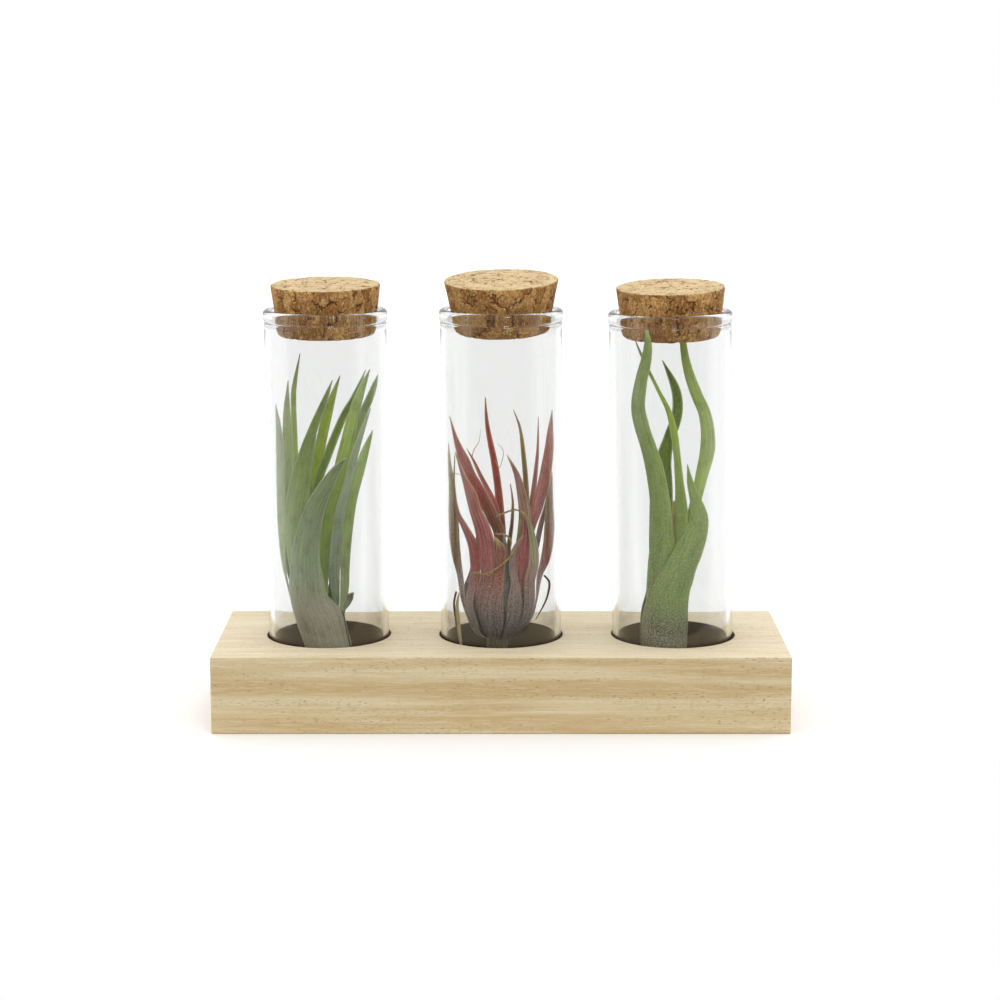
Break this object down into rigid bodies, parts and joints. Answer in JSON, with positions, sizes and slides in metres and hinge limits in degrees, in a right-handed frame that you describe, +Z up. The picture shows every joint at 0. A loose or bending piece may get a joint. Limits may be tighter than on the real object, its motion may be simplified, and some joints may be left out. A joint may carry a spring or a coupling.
{
  "type": "air plant",
  "caption": "Air plants under cork in clear glass tubes that stand in a low wooden block, with green and deep red strap leaves.",
  "frame": {"origin": "centre of the wooden block's underside, on the surface it stands on", "axes": "+X along the block from the green plant's tube to the twisted plant's tube, -Y towards the front, +Z up along the tubes"},
  "size_m": [0.14, 0.05, 0.1091],
  "materials": {
    "wood": "fine sanded, bare",
    "glass": "clear, polished",
    "cork": "granular, matte",
    "green_leaf": "matte, finely scaled",
    "red_leaf": "satin, striped lengthwise",
    "twisted_leaf": "matte, finely scaled",
    "dry_thread": "dry, matte",
    "stem": "dry, matte"
  },
  "bodies": {
    "root": {"wood_block": "wood", "left_tube": "glass", "middle_tube": "glass", "right_tube": "glass", "left_cork": "cork", "middle_cork": "cork", "right_cork": "cork", "green_stem": "stem", "green_leaf_front": "green_leaf", "green_leaf_left_broad": "green_leaf", "green_leaf_back_bright": "green_leaf", "green_leaf_middle_dark": "green_leaf", "green_leaf_right_broad": "green_leaf", "green_leaf_right_grey": "green_leaf", "green_leaf_right_tall": "green_leaf", "green_leaf_right_outer": "green_leaf", "green_leaf_right_stub": "green_leaf", "green_leaf_left_outer": "green_leaf", "green_leaf_left_second": "green_leaf", "green_leaf_left_tall": "green_leaf", "green_leaf_left_short": "green_leaf", "red_stem": "stem", "red_leaf_front": "red_leaf", "red_leaf_front_pink": "red_leaf", "red_leaf_front_speckled": "red_leaf", "red_leaf_front_teal": "red_leaf", "red_leaf_right_front": "red_leaf", "red_leaf_right_pink": "red_leaf", "red_leaf_left_red": "red_leaf", "red_leaf_left_outer": "red_leaf", "red_leaf_left_long": "red_leaf", "red_leaf_left_inner": "red_leaf", "red_leaf_tall": "red_leaf", "red_leaf_back_thin": "red_leaf", "red_leaf_back_straight": "red_leaf", "red_leaf_right_tall": "red_leaf", "red_leaf_right_outer": "red_leaf", "red_leaf_right_thin": "red_leaf", "red_leaf_centre_upper": "red_leaf", "red_leaf_centre_small": "red_leaf", "red_leaf_back_left": "red_leaf", "red_leaf_dry": "dry_thread", "red_root_left": "dry_thread", "red_root_right": "dry_thread", "red_strand_crossing": "dry_thread", "red_strand_loop": "dry_thread", "red_strand_curl": "dry_thread", "twisted_stem": "stem", "twisted_leaf_front_right": "twisted_leaf", "twisted_leaf_front_left": "twisted_leaf", "twisted_leaf_right_arm": "twisted_leaf", "twisted_leaf_middle_thin": "twisted_leaf", "twisted_leaf_back_curl": "twisted_leaf", "twisted_leaf_back_left": "twisted_leaf", "twisted_leaf_inner": "twisted_leaf"}
  },
  "joints": []
}
